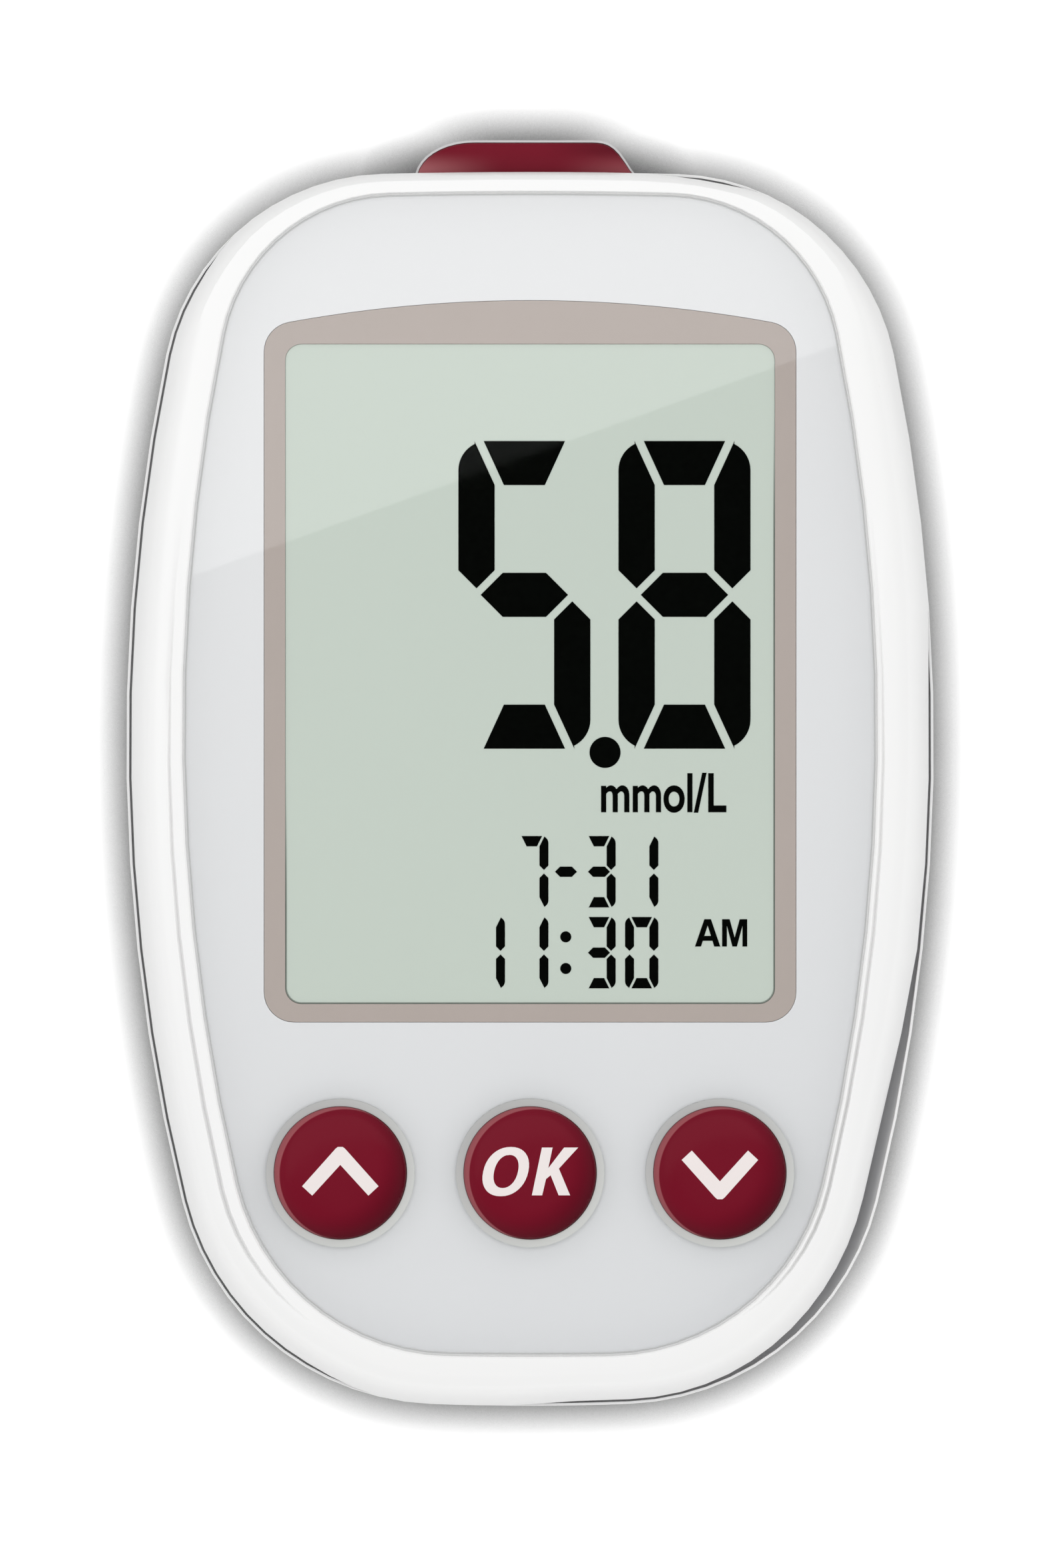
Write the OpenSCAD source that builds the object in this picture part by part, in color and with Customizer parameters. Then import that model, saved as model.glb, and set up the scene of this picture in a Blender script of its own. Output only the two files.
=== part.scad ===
// Pocket blood glucose meter, lying on its back: +Z points out of the display and +Y out of
// the test strip port. The origin is on the table, under the middle of the whole outline.
// Lengths are in millimetres. Outlines are drawn about the middle of the body, and placed()
// then moves each piece so that the strip port's tip is counted in the length.

/* [Body] */
// Width of the body at its widest
body_w = 54.2; // [50:0.1:66]
// Length of the body, without the strip port
body_l = 82.8; // [76:0.1:100]
// Height of the front rim above the table
body_t = 16.6; // [16:0.1:20]
// Height of the line where the two shells meet
parting_z = 8; // [7.6:0.1:9]
// Thickness of both shells
wall = 1.5; // [1.4:0.1:1.8]
// How far the widest place lies above the middle
widest_y = 3.1; // [0:0.1:5]
// Radius of the top edge of the outline
top_r = 400; // [250:10:600]
// How far the long sides curve in from the widest place to the bottom edge
side_bow = 7.98; // [6.5:0.02:9]
// Radius of the bottom edge of the outline
bottom_r = 170; // [120:5:400]
// Radius of the two upper corners
upper_corner_r = 15.2; // [14:0.1:17]
// Radius of the two lower corners
lower_corner_r = 17.9; // [16:0.1:19]
// How far the back curves in before it is flat
back_inset = 7; // [5:0.1:8]
// Height at which the back's curve reaches the side wall
back_curve_z = 6; // [4:0.1:6.1]
// How far the rear shell's edge shows beyond the front shell
reveal = 0.35; // [0.25:0.05:0.4]
// Width of that edge up to the groove between the two shells
edge_w = 0.17; // [0.1:0.01:0.2]
// Extra depth of the finger scallop at the lower right
scallop_d = 0.7; // [0:0.05:0.7]

/* [Face] */
// Width of the white rim above the face
rim_top = 1.4; // [1.2:0.1:3]
// Width of the white rim beside the face
rim_side = 3.8; // [3:0.1:5]
// Width of the white rim below the face
rim_bottom = 3.4; // [2.5:0.1:5]
// Height of the rim's rounded outer edge
rim_round = 6; // [4:0.1:7]
// Radius of the upper corners of the face
face_upper_r = 11.7; // [10:0.1:13]
// Radius of the lower corners of the face
face_lower_r = 14.9; // [13:0.1:16]
// Depth of the crease that runs down both sides of the rim
crease_d = 0.5; // [0:0.05:0.7]
// Width of that crease
crease_w = 0.4; // [0.3:0.05:0.45]
// Width of the lip between the face and the crease, on the left
crease_left = 0.8; // [0.3:0.05:0.8]
// Width of the lip between the face and the crease, on the right
crease_right = 0.25; // [0.2:0.05:0.8]
// Thickness of the clear lens
lens_t = 1.2; // [0.8:0.1:1.5]
// How far the lens lies below the rim
lens_drop = 0.3; // [0.1:0.05:0.5]
// Gap seen round the lens
lens_gap = 0.15; // [0.1:0.01:0.25]
// Thickness of the printed film under the lens
film_t = 0.15; // [0.1:0.01:0.2]
// Thickness of the deck that carries lens and film
deck_t = 1.1; // [1:0.05:1.6]

/* [Display] */
// Width of the display window
window_w = 32.8; // [27:0.1:33.6]
// Distance from the top of the body to the window
window_from_top = 11.6; // [10:0.1:14]
// Distance from the bottom of the body to the window
window_from_bottom = 27; // [25:0.1:32]
// Corner radius of the window
window_r = 1.1; // [0.5:0.1:2]
// Width of the display frame beside the window
frame_side = 1.4; // [1:0.1:1.7]
// Width of the display frame below the window
frame_bottom = 1.2; // [1:0.1:2]
// Width of the display frame above the window, at its middle
frame_top = 2.9; // [2.7:0.1:3.4]
// Radius of the arch along the top of the display frame
frame_arch_r = 90; // [80:1:200]
// Radius of the display frame's corners
frame_r = 2; // [1:0.1:2.5]
// Thickness of the display frame
frame_t = 0.5; // [0.4:0.05:0.6]
// Thickness of the liquid crystal glass
glass_t = 2; // [1.6:0.1:2.2]
// Width of the glass beyond the window on each side
glass_margin = 2.3; // [2:0.1:2.5]

/* [Keys] */
// Diameter of a key cap
key_d = 8.9; // [8:0.1:9.4]
// Distance between two keys
key_pitch = 12.7; // [12.4:0.1:13]
// Distance from the bottom of the body to the row of keys
key_from_bottom = 15.7; // [15:0.1:16.5]
// How far a key cap stands above the lens
key_proud = 0.8; // [0.5:0.05:1.2]
// Travel of a key
key_travel = 0.4; // [0.2:0.05:0.5]
// Width of the silicone collar seen round a key
collar_w = 0.45; // [0.3:0.05:0.5]
// How far the collar lies below the lens
collar_drop = 0.2; // [0.2:0.05:0.8]

/* [Strip port] */
// How far the strip port stands out of the body
port_out = 2; // [1.5:0.1:4]
// Width of the flat tip of the strip port
port_flat = 7.6; // [6:0.1:9]
// Width of the strip port's left shoulder
port_left = 3.8; // [3:0.1:4.5]
// Width of the strip port's right shoulder
port_right = 3.6; // [3:0.1:4.5]
// Width of the white lip seen round the strip port
port_lip = 0.15; // [0.1:0.05:0.3]
// Width of a test strip
strip_w = 7; // [5.8:0.1:8.4]
// Thickness of a test strip
strip_t = 0.6; // [0.4:0.05:0.8]

/* [Ejector] */
// Travel of the strip ejector
eject_travel = 4.5; // [3:0.1:5]
// Width of the ejector's thumb pad
thumb_w = 9; // [7:0.1:10]
// Length of the ejector's thumb pad
thumb_l = 8; // [7:0.1:9]

/* [Battery] */
// Diameter of a coin cell
cell_d = 20; // [16:0.1:20.2]
// Thickness of a coin cell
cell_t = 3.2; // [2.5:0.1:3.2]
// Width of the battery door
door_w = 26.8; // [26:0.1:28]
// Distance from the middle of the body to the door's upper edge
door_y = 14; // [13.6:0.1:14.5]

/* [Board] */
// Thickness of the circuit board
board_t = 1; // [0.8:0.1:1.2]
// Distance from the parting line up to the board's underside
board_lift = 0.4; // [0.2:0.1:0.5]
// Radius of a case screw's post
post_r = 2; // [1.8:0.1:2.2]
// Radius of a case screw
screw_r = 0.8; // [0.7:0.05:0.9]

/* [Hidden] */

// Clearances: between still pieces that seat on each other, round moving ones, and for screws
seat = 0.03;
run = 0.1;
screw_play = 0.03;

// Colours of the finishes
white = [0.95, 0.95, 0.94];
pearl = [0.86, 0.87, 0.88];
taupe = [0.70, 0.66, 0.64];
burgundy = [0.45, 0.09, 0.16];
steel = [0.75, 0.76, 0.78];
gold = [0.85, 0.68, 0.35];
black = [0.12, 0.12, 0.13];

// Heights, from the front down
lens_top = body_t - lens_drop;
lens_z = lens_top - lens_t;
deck_top = lens_z - film_t;
deck_z = deck_top - deck_t;
rim_low = body_t - rim_round;
front_z = parting_z + 0.2;
groove_z = parting_z - 1;
groove_in = reveal + scallop_d + seat;
tongue_z = groove_z - 0.35;

// Heights, from the back up
board_z = parting_z + board_lift;
board_top = board_z + board_t;
cell_z = wall + 0.25;
cell_top = cell_z + cell_t;
web_z = cell_top + 0.7;
web_t = 1;
web_top = web_z + web_t;

// Round the display
window_top = body_l / 2 - window_from_top;
window_low = -body_l / 2 + window_from_bottom;
window_mid = (window_top + window_low) / 2;
window_h = window_top - window_low;
glass_w = window_w + 2 * glass_margin;
glass_h = window_h + 2 * glass_margin + 0.6;
glass_z = deck_z - seat - glass_t;
zebra_w = 1.6;

// Keys
key_r = key_d / 2;
collar_in = key_r + 0.05;
collar_out = collar_in + collar_w;
hole_r = collar_out + seat;
key_y = -body_l / 2 + key_from_bottom;
key_top = lens_top + key_proud;
gasket_top = deck_z - seat;
gasket_t = 0.6;
flange_top = gasket_top - gasket_t - seat;
flange_t = 0.8;
flange_r = collar_out + 0.1;
sheet_r = flange_r + run;
dome_r = 3.5;
dome_h = key_travel + 0.1;
stem_r = 1.4;

// Strip port, connector and ejector
port_z = 3.75;
port_top = parting_z - 0.05;
port_in = 5;
lip_top = port_top - 0.35;
lip_in = 0.35;
mouth_h = 1.7;
mouth_w = strip_w + 2;
strip_z = (port_z + board_z) / 2 + 0.1;
socket_w = strip_w + 5;
socket_l = 8.7;
socket_y = body_l / 2 - port_in - seat - socket_l;
socket_z = 4.9;
channel_h = strip_t + 0.4;
contact_pitch = 1.2;
contact_x = [for (side = [-1, 1], k = [0, 1]) side * (strip_w / 2 - 0.5 - k * contact_pitch)];
neck_l = 3.2;
thumb_y = socket_y - eject_travel - neck_l / 2 - 0.2;
thumb_floor = 0.5;
finger_w = 2;
finger_z = strip_z - 0.35;
finger_t = 0.7;
spring_r = 0.95;
wire_d = 0.3;
spring_z = 3.75;
stop_y = socket_y + 6;
spring_turns = 7;

// Battery tray and door
cell_gap = 0.8;
cell_play = 0.3;
clip_t = 0.2;
clip_gap = 0.05;
pocket_r = cell_d / 2 + cell_play;
upper_cell_y = door_y - 1.4 - pocket_r;
lower_cell_y = upper_cell_y - cell_d - cell_gap;
rib_t = 1.2;
tray_end_y = lower_cell_y - pocket_r - rib_t;
tray_top_y = door_y + 1.6;
pocket_wall_x = pocket_r + 1.3;
door_top_z = 5.5;
rail_w = 1;
rail_z = wall + run;
rail_t = 0.7;
rail_low = -body_l / 2 + 5.2;
rail_high = door_y - 3;
grip_w = 0.8;
grip_pitch = 1.8;
grip_x = 7;
grip_y = -body_l / 2 + 11;
arrow_y = grip_y + 13.5;
mark_d = 0.4;
side_rib_x = door_w / 2 + rail_w + 0.4;

// Posts that hold the case together, and standoffs that hold the board
side_l = widest_y + body_l / 2;
side_r = (side_l * side_l + side_bow * side_bow) / (2 * side_bow);
face_r = 400;
outer = [body_w / 2, body_l / 2, -body_l / 2, widest_y, top_r, side_r, bottom_r, upper_corner_r,
         lower_corner_r];
face = [body_w / 2 - rim_side, body_l / 2 - rim_top, -body_l / 2 + rim_bottom, widest_y + 1, face_r,
        side_r + 4, face_r, face_upper_r, face_lower_r];
boss_r = post_r + 0.3;
post_reach = wall + boss_r + 0.15;
post_up = upper_centre(outer) + (upper_corner_r - post_reach) * [cos(60), sin(60)];
post_low = lower_centre(outer) + (lower_corner_r - post_reach) * [cos(-33.5), sin(-33.5)];
posts = [post_up, [-post_up[0], post_up[1]], post_low, [-post_low[0], post_low[1]]];
standoff_x = glass_w / 2 + 3.7;
standoff_y = 4;
standoffs = [[standoff_x, standoff_y], [-standoff_x, standoff_y]];
head_r = 1.5;
head_t = 1.1;
head_seat = 3;
peg_r = 0.8;
holder_w = glass_w + 2 * run;
holder_h = glass_h + 2 * run;
pegs = [for (x = [-1, 1], y = [-1, 1])
    [x * (holder_w / 2 - 0.9), window_mid + y * (holder_h / 2 - 4.5)]];

// Parts on the board's underside: [x, y, width, length, height]
chips = [[12.5, 22.5, 7, 7, 1.2], [14, 13, 5, 4, 1.3], [-8, 13, 3.2, 1.6, 0.8], [-14, 8, 3, 3, 1]];
buzzer_at = [-13.5, 21.5];
buzzer_r = 4.5;
buzzer_h = 1.6;

// Outlines: [half width, top, bottom, widest y, top r, side r, bottom r, upper r, lower r]
function top_centre(o) = [0, o[1] - o[4]];
function side_centre(o) = [o[0] - o[5], o[3]];
function bottom_centre(o) = [0, o[2] + o[6]];

// The right-hand point where a circle about p, of radius a, meets one about q, of radius b
function meet(p, a, q, b) =
    let (d = norm(q - p), u = (q - p) / d, x = (d * d + a * a - b * b) / (2 * d))
    p + x * u + sqrt(a * a - x * x) * [u[1], -u[0]];
function upper_centre(o) = meet(top_centre(o), o[4] - o[7], side_centre(o), o[5] - o[7]);
function lower_centre(o) = meet(side_centre(o), o[5] - o[8], bottom_centre(o), o[6] - o[8]);
function heading(p) = atan2(p[1], p[0]);

// The five arcs of the right half, each as [centre, radius, first angle, last angle, steps]
function arcs(o) =
    let (
        t = top_centre(o), s = side_centre(o), b = bottom_centre(o),
        u = upper_centre(o), l = lower_centre(o),
        a = [90, heading(u - t), heading(u - s), heading(l - s), heading(l - b), -90]
    )
    [
        [t, o[4], a[0], a[1], 4], [u, o[7], a[1], a[2], 13], [s, o[5], a[2], a[3], 10],
        [l, o[8], a[3], a[4], 13], [b, o[6], a[4], a[5], 4]
    ];

// The right half's points, from the top to the bottom, and the whole ring, inset on all sides
function half_ring(o, inset) = [
    for (arc = arcs(o)) for (k = [0 : arc[4] - 1])
        let (angle = arc[2] + (arc[3] - arc[2]) * k / arc[4])
        arc[0] + (arc[1] - inset) * [cos(angle), sin(angle)],
    [0, o[2] + inset]
];
function ring(o, inset = 0) =
    let (half = half_ring(o, inset), last = len(half) - 1)
    [each half, for (k = [last - 1 : -1 : 1]) [-half[k][0], half[k][1]]];
function lift(points, z) = [for (p = points) [p[0], p[1], z]];
function mix(a, b, share) = a + (b - a) * share;

// Where the front shell's edge leaves its plain line: 0 outside two headings, 1 well inside them
function between(p, low, high, soft) =
    let (share = min(heading(p) - low, high - heading(p)) / soft)
    share <= 0 ? 0 : share >= 1 ? 1 : pow(sin(90 * share), 2);
function scallop(p) = between(p, -78, -18, 30);
function cover(p) = max(between(p, 20, 73, 6), between(p, 73, 124, 8), between(p, -112, -84, 10));
edge_plain = ring(outer, reveal);
edge_deep = ring(outer, reveal + scallop_d);
edge_flush = ring(outer, seat);
front_edge = [for (k = [0 : len(edge_plain) - 1])
    let (p = edge_plain[k])
    mix(mix(p, edge_deep[k], scallop(p)), edge_flush[k], cover(p))];
face_edge = ring(face);

// A ring of the groove between the shells, which changes in height along the scallop
function groove_ring(inset, rise) =
    [for (p = ring(outer, inset)) [p[0], p[1], groove_z + rise * scallop(p)]];

// The back's curve: height over the table at a distance in from the outline, and the reverse
function back_share(angle) = 1 - pow(sin(angle), 0.8);
function back_rise(angle) = back_curve_z * (1 - pow(cos(angle), 0.8));
function back_height(inset) = back_rise(asin(pow(1 - inset / back_inset, 1.25)));

// The crease down both sides of the rim: 0 above and below it, 1 where it is deepest
crease_top = widest_y + 11;
crease_low = -body_l / 2 + 6.4;
function crease(y) =
    let (share = (y - crease_low) / (crease_top - crease_low))
    share > 0 && share < 1 ? sin(min(90, 600 * share)) * pow(1 - share, 0.6) : 0;

// The rim from the crease to the outer edge, as shares of its width from the face, where level
// is 1 at the top of its curve and 0 at its outer edge
function rim_ring(share, level) =
    lift([for (k = [0 : len(face_edge) - 1]) mix(face_edge[k], front_edge[k], share)],
         mix(rim_low, body_t, level));

// The lip round the face: so far out from the face, or from the crease's inner edge, and so deep
function lip_ring(from_crease, out, wide, drop, deep) = [for (k = [0 : len(face_edge) - 1])
    let (
        width = norm(front_edge[k] - face_edge[k]),
        c = crease(face_edge[k][1]),
        lip = from_crease * (face_edge[k][0] < 0 ? crease_left : crease_right),
        p = mix(face_edge[k], front_edge[k],
                (lip + out + wide * (0.4 + 0.6 * c)) / max(width, rim_side - reveal))
    )
    [p[0], p[1], body_t - drop - deep * c]];
lip_round = 0.12;
rim_start = 0.37;
rim_steps = 8;

// The strip port's outline, from its left root round the tip to its right root. Its left
// shoulder is a quarter of an ellipse, and its right one flares out at the foot.
function right_shoulder(share) = (1 + cos(180 * pow(share, 1.9))) / 2;
function port_line(inset) =
    let (low = body_l / 2 - 0.5, rise = port_out + 0.5 - inset, root = body_l / 2 - port_in)
    [
        [-port_flat / 2 - port_left + inset, root],
        for (k = [0 : 10]) let (angle = 180 - 90 * k / 10)
            [-port_flat / 2 + (port_left - inset) * cos(angle), low + rise * sin(angle)],
        for (k = [0 : 10])
            [port_flat / 2 + (port_right - inset) * k / 10, low + rise * right_shoulder(k / 10)],
        [port_flat / 2 + port_right - inset, root]
    ];

// An arc's points, both ends included
function bend(centre, r, from, to, steps) = [
    for (k = [0 : steps])
        let (angle = from + (to - from) * k / steps)
        centre + r * [cos(angle), sin(angle)]
];

// The display frame's outline: a rectangle under an arch, with all of its corners rounded
function frame_line(margin) =
    let (
        r = frame_r + margin,
        x = window_w / 2 + frame_side + margin - r,
        low = window_low - frame_bottom - margin + r,
        arch_y = window_top + frame_top - frame_arch_r,
        arch_r = frame_arch_r + margin,
        high = arch_y + sqrt(pow(arch_r - r, 2) - x * x),
        turn = acos(x / (arch_r - r)),
        step = (180 - 2 * turn) / 24
    )
    [
        each bend([x, low], r, -90, 0, 8),
        each bend([x, high], r, 0, turn, 8),
        each bend([0, arch_y], arch_r, turn + step, 180 - turn - step, 22),
        each bend([-x, high], r, 180 - turn, 180, 8),
        each bend([-x, low], r, 180, 270, 8)
    ];

module placed() {
    translate([0, -(port_out + port_lip) / 2, 0])
        children();
}

// A closed skin through rings of points, flat at its first and its last ring. The rings run
// clockwise, seen from above, and rise from the first to the last.
module skin(rings) {
    n = len(rings[0]);
    last = (len(rings) - 1) * n;
    sides = [for (j = [0 : len(rings) - 2]) for (k = [0 : n - 1])
        let (a = j * n + k, b = j * n + (k + 1) % n)
        each [[a, b, b + n], [a, b + n, a + n]]];
    ends = [[for (k = [n - 1 : -1 : 0]) k], [for (k = [0 : n - 1]) last + k]];
    polyhedron([for (r = rings) each r], [each sides, each ends]);
}

module plate(points, z, height) {
    translate([0, 0, z])
        linear_extrude(height)
            polygon(points);
}

// A box from one corner to the opposite one
module block(low, high) {
    translate(low)
        cube(high - low);
}

module rod(p, r, low, high) {
    translate([p[0], p[1], low])
        cylinder(r = r, h = high - low, $fn = 48);
}

// A rectangle with round corners
module pane(w, h, r) {
    square([w - 2 * r, h], center = true);
    square([w, h - 2 * r], center = true);
    for (x = [-1, 1], y = [-1, 1])
        translate([x * (w / 2 - r), y * (h / 2 - r)])
            circle(r = r, $fn = 32);
}

module window(margin) {
    translate([0, window_mid])
        pane(window_w + 2 * margin, window_h + 2 * margin, window_r + margin);
}

module at_keys() {
    for (x = [-key_pitch, 0, key_pitch])
        translate([x, key_y, 0])
            children();
}

module front_shell() {
    skin([
        lift(ring(outer, wall + 0.7), deck_z),
        lift(ring(outer, wall + 0.3), deck_z - 0.3),
        lift(ring(outer, wall + 0.05), deck_z - 1),
        lift(ring(outer, wall + 0.05), tongue_z),
        lift(ring(outer, groove_in + run), tongue_z),
        lift(ring(outer, groove_in + run), front_z),
        lift(front_edge, front_z),
        for (k = [0 : rim_steps]) let (angle = 90 * k / rim_steps)
            rim_ring(rim_start + (1 - rim_start) * pow(cos(angle), 0.7), pow(sin(angle), 0.9)),
        lip_ring(1, 0, crease_w, 0, 0),
        lip_ring(1, 0, crease_w / 2, 0, crease_d),
        lip_ring(1, 0, 0, 0, 0),
        lip_ring(0, lip_round, 0, 0, 0),
        lip_ring(0, 0, 0, lip_round, 0),
        lift(face_edge, deck_top)
    ]);
}

module front_case() color(white) placed() {
    difference() {
        union() {
            front_shell();
            for (p = posts)
                rod(p, post_r, board_z - 0.15, deck_z + 0.2);
            for (p = standoffs)
                rod(p, post_r, board_top + seat, deck_z + 0.2);
        }
        translate([0, 0, deck_z - 1])
            linear_extrude(deck_t + 2)
                window(0.4);
        translate([0, 0, lens_z - frame_t - seat])
            linear_extrude(frame_t + 1)
                polygon(frame_line(run));
        at_keys()
            rod([0, 0], hole_r, deck_z - 1, deck_top + 1);
        for (p = posts)
            rod(p, screw_r + screw_play, board_z - 1, deck_z - 1);
        for (p = standoffs)
            rod(p, screw_r + screw_play, board_top - 1, deck_z - 1);
        block([-port_flat / 2 - port_left - port_lip - run, body_l / 2 - 6, tongue_z - 1],
              [port_flat / 2 + port_right + port_lip + run, body_l / 2, front_z]);
    }
}

module face_lens() color([0.9, 0.93, 0.95, 0.35]) placed() {
    difference() {
        plate(ring(face, lens_gap), lens_z + seat, lens_t - seat);
        at_keys() {
            rod([0, 0], hole_r, lens_z - 1, lens_top + 1);
            translate([0, 0, lens_top - 0.15])
                cylinder(r1 = hole_r, r2 = hole_r + 0.3, h = 0.3, $fn = 48);
        }
    }
}

module graphic_film() color(pearl) placed() {
    difference() {
        plate(ring(face, lens_gap + 0.1), deck_top, film_t);
        translate([0, 0, deck_top - 1])
            linear_extrude(film_t + 2)
                polygon(frame_line(seat));
        at_keys()
            rod([0, 0], hole_r, deck_top - 1, lens_z + 1);
    }
}

module display_bezel() color(taupe) placed() {
    translate([0, 0, lens_z - frame_t])
        linear_extrude(frame_t)
            difference() {
                polygon(frame_line(0));
                window(0);
            }
}

// Two sheets of glass, the lower one longer, as the ledge that carries the contacts
module lcd_panel() color([0.78, 0.82, 0.78]) placed() {
    upper_t = glass_t * 0.55;
    block([-glass_w / 2, window_mid - glass_h / 2 + 2.2, glass_z + glass_t - upper_t],
          [glass_w / 2, window_mid + glass_h / 2 - 0.4, glass_z + glass_t]);
    block([-glass_w / 2, window_mid - glass_h / 2, glass_z],
          [glass_w / 2, window_mid + glass_h / 2, glass_z + glass_t - upper_t]);
}

module lcd_backlight() color([0.92, 0.94, 0.9]) placed() {
    inset = zebra_w + 1.2;
    difference() {
        block([-glass_w / 2 + 0.2, window_mid - glass_h / 2 + inset, board_top + 0.4],
              [glass_w / 2 - 0.2, window_mid + glass_h / 2 - inset, glass_z - seat]);
        for (x = [-12 : 6 : 12])
            translate([x, window_mid - glass_h / 2 + inset, board_top + 0.4])
                cylinder(r = 1, h = 1, $fn = 32);
    }
}

module lcd_holder() color([0.93, 0.93, 0.9]) placed() {
    w = holder_w;
    h = holder_h;
    rail = 1;
    ledge = 2;
    difference() {
        union() {
            translate([0, window_mid, board_top + seat])
                linear_extrude(deck_z - board_top - 2 * seat)
                    pane(w + 2 * rail, h + 2 * rail, 0.8);
            for (p = pegs)
                rod(p, peg_r, board_z - 0.5, board_top + 1);
        }
        block([-w / 2, window_mid - h / 2, board_top + 0.4], [w / 2, window_mid + h / 2, deck_z]);
        block([-w / 2 + ledge, window_mid - h / 2, board_top - 1],
              [w / 2 - ledge, window_mid + h / 2, deck_z]);
    }
}

// Two elastomer strips, which join the glass to the board
module zebra_strips() color([0.45, 0.45, 0.5]) placed() {
    for (y = [-1, 1])
        translate([0, window_mid + y * (glass_h / 2 - zebra_w / 2 - 0.3),
                   (board_top + glass_z) / 2])
            cube([window_w - 2, zebra_w, glass_z - board_top - 2 * seat], center = true);
}

module main_board() color([0.1, 0.35, 0.22]) placed() {
    difference() {
        plate(ring(outer, wall + 0.5), board_z, board_t);
        for (p = posts)
            rod(p, post_r + 0.2, board_z - 1, board_top + 1);
        for (p = standoffs)
            rod(p, screw_r + 0.1, board_z - 1, board_top + 1);
        for (p = pegs)
            rod(p, peg_r + seat, board_z - 1, board_top + 1);
    }
}

// Controller, memory, crystal, regulator and a row of small passive parts
module board_chips() color(black) placed() {
    for (chip = chips)
        translate([chip[0], chip[1], board_z - seat - chip[4] / 2])
            cube([chip[2], chip[3], chip[4]], center = true);
    for (x = [-16 : 4 : 16])
        translate([x, key_y + 10, board_z - seat - 0.35])
            cube([1.6, 0.8, 0.7], center = true);
}

// One key: a domed cap, the flange that keeps it in the case and the stem that works its dome
module key_body() {
    shoulder = lens_top - 0.3;
    rotate_extrude($fn = 64)
        polygon([
            [0, board_top + dome_h + 0.1],
            [stem_r, board_top + dome_h + 0.1],
            [stem_r, flange_top - flange_t],
            [flange_r, flange_top - flange_t],
            [flange_r, flange_top],
            [key_r, flange_top],
            for (k = [0 : 8]) let (angle = 90 * k / 9)
                [key_r * pow(cos(angle), 0.6),
                 shoulder + (key_top - shoulder) * pow(sin(angle), 0.9)],
            [0, key_top]
        ]);
}

module button(index) {
    translate([(index - 1) * key_pitch, key_y, 0])
        key_body();
}

module up_button() color(burgundy) placed() button(0);
module ok_button() color(burgundy) placed() button(1);
module down_button() color(burgundy) placed() button(2);

// One snap dome: a thin bowl of spring steel that lies rim down on the board
module snap_dome(index) {
    bowl_r = (dome_r * dome_r + dome_h * dome_h) / (2 * dome_h);
    translate([(index - 1) * key_pitch, key_y, board_top + seat])
        rotate_extrude($fn = 48)
            polygon([
                for (k = [0 : 6]) let (r = dome_r * k / 6)
                    [r, sqrt(bowl_r * bowl_r - r * r) - bowl_r + dome_h],
                for (k = [6 : -1 : 0]) let (r = (dome_r - 0.25) * k / 6)
                    [r, max(0, sqrt(bowl_r * bowl_r - r * r) - bowl_r + dome_h - 0.12)]
            ]);
}

module up_dome() color(steel) placed() snap_dome(0);
module ok_dome() color(steel) placed() snap_dome(1);
module down_dome() color(steel) placed() snap_dome(2);

// A silicone sheet under the deck, with a collar that rises round each key
module key_gasket() color([0.73, 0.74, 0.73]) placed() {
    difference() {
        union() {
            translate([-key_pitch, key_y - sheet_r, gasket_top - gasket_t])
                cube([2 * key_pitch, 2 * sheet_r, gasket_t]);
            at_keys() {
                rod([0, 0], sheet_r, gasket_top - gasket_t, gasket_top);
                rod([0, 0], collar_out, gasket_top - gasket_t, lens_top - collar_drop);
            }
        }
        at_keys()
            rod([0, 0], collar_in, gasket_top - 2, lens_top + 1);
    }
}

// The flare at the outer end of the strip port's slot
module mouth(margin) {
    block([-mouth_w / 2 - margin, body_l / 2 + port_out - 0.9, strip_z - mouth_h / 2 - margin],
          [mouth_w / 2 + margin, body_l / 2 + port_out + 1, strip_z + mouth_h / 2 + margin]);
}

// The coloured mouth that guides a strip in. It leans outwards in the rear case's lip, up to
// the lip's top edge, and ends in a low crown.
module strip_port() color(burgundy) placed() {
    difference() {
        skin([
            lift(port_line(lip_in + 0.4), port_z),
            lift(port_line(lip_in), port_z + 0.4),
            lift(port_line(seat), lip_top),
            lift(port_line(0.1), port_top - 0.2),
            lift(port_line(0.45), port_top - 0.06),
            lift(port_line(1.2), port_top)
        ]);
        block([-strip_w / 2 - 0.4, body_l / 2 - port_in - 1, strip_z - strip_t],
              [strip_w / 2 + 0.4, body_l / 2 + port_out + 1, strip_z + strip_t]);
        mouth(0);
    }
}

// The socket under the board: a channel for the strip, with a slot for each contact
module strip_connector() color(black) placed() {
    difference() {
        block([-socket_w / 2, socket_y, socket_z],
              [socket_w / 2, socket_y + socket_l, board_z - seat]);
        block([-strip_w / 2 - 0.2, socket_y + 1.2, strip_z - channel_h / 2],
              [strip_w / 2 + 0.2, socket_y + socket_l + 1, strip_z + channel_h / 2]);
        block([-finger_w / 2 - run, socket_y - 1, strip_z - channel_h / 2],
              [finger_w / 2 + run, socket_y + 2, strip_z + channel_h / 2]);
        for (x = contact_x)
            block([x - 0.35, socket_y - 1, strip_z + channel_h / 2 - 0.01],
                  [x + 0.35, socket_y + 7.6, strip_z + channel_h / 2 + 0.75]);
    }
}

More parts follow.
